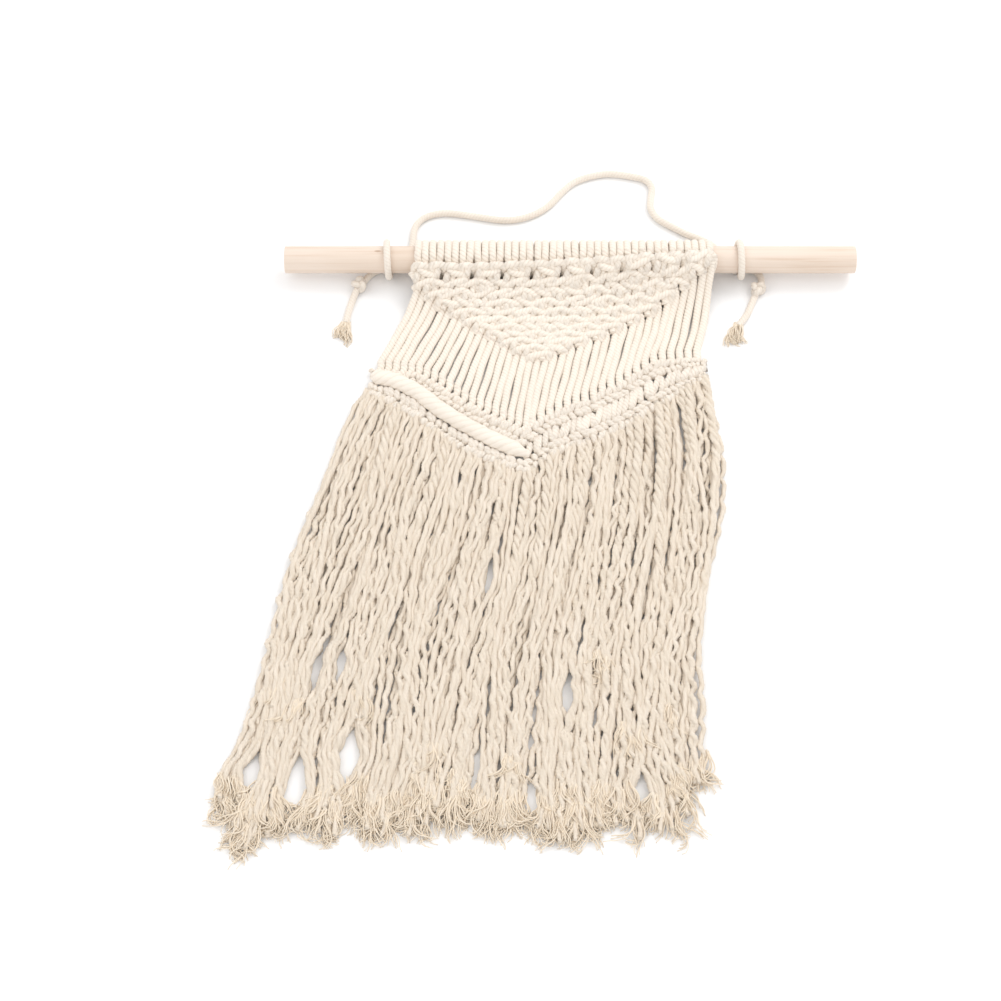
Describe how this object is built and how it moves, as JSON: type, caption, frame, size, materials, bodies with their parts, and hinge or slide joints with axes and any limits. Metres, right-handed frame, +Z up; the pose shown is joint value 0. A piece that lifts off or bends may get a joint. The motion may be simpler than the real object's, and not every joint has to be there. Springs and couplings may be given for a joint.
{
  "type": "macrame wall hanging",
  "caption": "Macrame wall hanging: cotton cords on a round dowel, a knotted triangle, a V-shaped band of hitches, a long combed fringe and a hanging loop.",
  "frame": {"origin": "on the surface that the piece lies on, straight under the middle of the dowel", "axes": "+X along the dowel, +Y towards the hanging loop, -Y towards the fringe, +Z up off the surface"},
  "size_m": [0.4358, 0.533, 0.0342],
  "materials": {
    "pine_dowel": "bare sanded pine",
    "cotton_cord": "matt twisted natural cotton",
    "combed_cotton": "matt combed-out natural cotton",
    "hanging_cord": "matt twisted natural cotton"
  },
  "bodies": {
    "panel": {"larks_head_01": "cotton_cord", "larks_head_02": "cotton_cord", "larks_head_03": "cotton_cord", "larks_head_04": "cotton_cord", "larks_head_05": "cotton_cord", "larks_head_06": "cotton_cord", "larks_head_07": "cotton_cord", "larks_head_08": "cotton_cord", "larks_head_09": "cotton_cord", "larks_head_10": "cotton_cord", "larks_head_11": "cotton_cord", "larks_head_12": "cotton_cord", "larks_head_13": "cotton_cord", "larks_head_14": "cotton_cord", "larks_head_15": "cotton_cord", "larks_head_16": "cotton_cord", "larks_head_17": "cotton_cord", "larks_head_18": "cotton_cord", "larks_head_19": "cotton_cord", "larks_head_20": "cotton_cord", "square_knot_row_01": "cotton_cord", "square_knot_row_02": "cotton_cord", "square_knot_row_03": "cotton_cord", "square_knot_row_04": "cotton_cord", "square_knot_row_05": "cotton_cord", "square_knot_row_06": "cotton_cord", "square_knot_row_07": "cotton_cord", "square_knot_row_08": "cotton_cord", "square_knot_row_09": "cotton_cord", "square_knot_row_10": "cotton_cord", "upper_strands_left": "cotton_cord", "upper_strands_right": "cotton_cord", "left_hitch": "hanging_cord", "right_hitch": "hanging_cord"},
    "dowel": {"dowel": "pine_dowel"},
    "hanging_loop": {"hanging_loop": "hanging_cord"},
    "left_tail": {"left_tail_lead": "hanging_cord", "left_stopper_knot": "hanging_cord", "left_tail": "hanging_cord", "left_frayed_tip": "hanging_cord"},
    "right_tail": {"right_tail_lead": "hanging_cord", "right_stopper_knot": "hanging_cord", "right_tail": "hanging_cord", "right_frayed_tip": "hanging_cord"},
    "band_and_fringe": {"lower_strands_left": "cotton_cord", "lower_strands_right": "cotton_cord", "left_upper_hitch_row": "cotton_cord", "left_roll": "cotton_cord", "left_lower_hitch_row": "cotton_cord", "right_upper_hitch_row": "cotton_cord", "right_middle_hitch_row": "cotton_cord", "right_lower_hitch_row": "cotton_cord", "fringe_lock_01": "combed_cotton", "fringe_lock_02": "combed_cotton", "fringe_lock_03": "combed_cotton", "fringe_lock_04": "combed_cotton", "fringe_lock_05": "combed_cotton", "fringe_lock_06": "combed_cotton", "fringe_lock_07": "combed_cotton", "fringe_lock_08": "combed_cotton"}
  },
  "joints": [
    {"name": "dowel_turn", "type": "hinge", "parent": "panel", "child": "dowel", "pos_m": [0, 0, 0.0148], "axis": [1, 0, 0], "continuous": true},
    {"name": "loop_swing", "type": "hinge", "parent": "panel", "child": "hanging_loop", "pos_m": [0, 0, 0.0148], "axis": [1, 0, 0], "range_deg": [0, 100]},
    {"name": "left_tail_swing", "type": "hinge", "parent": "panel", "child": "left_tail", "pos_m": [-0.128, 0, 0.0148], "axis": [-1, 0, 0], "range_deg": [0, 80]},
    {"name": "right_tail_swing", "type": "hinge", "parent": "panel", "child": "right_tail", "pos_m": [0.119, 0, 0.0148], "axis": [-1, 0, 0], "range_deg": [0, 80]},
    {"name": "fringe_fold", "type": "hinge", "parent": "panel", "child": "band_and_fringe", "pos_m": [0, -0.0765, 0.0051], "axis": [-0.9985, -0.0543, 0], "range_deg": [0, 100]}
  ]
}
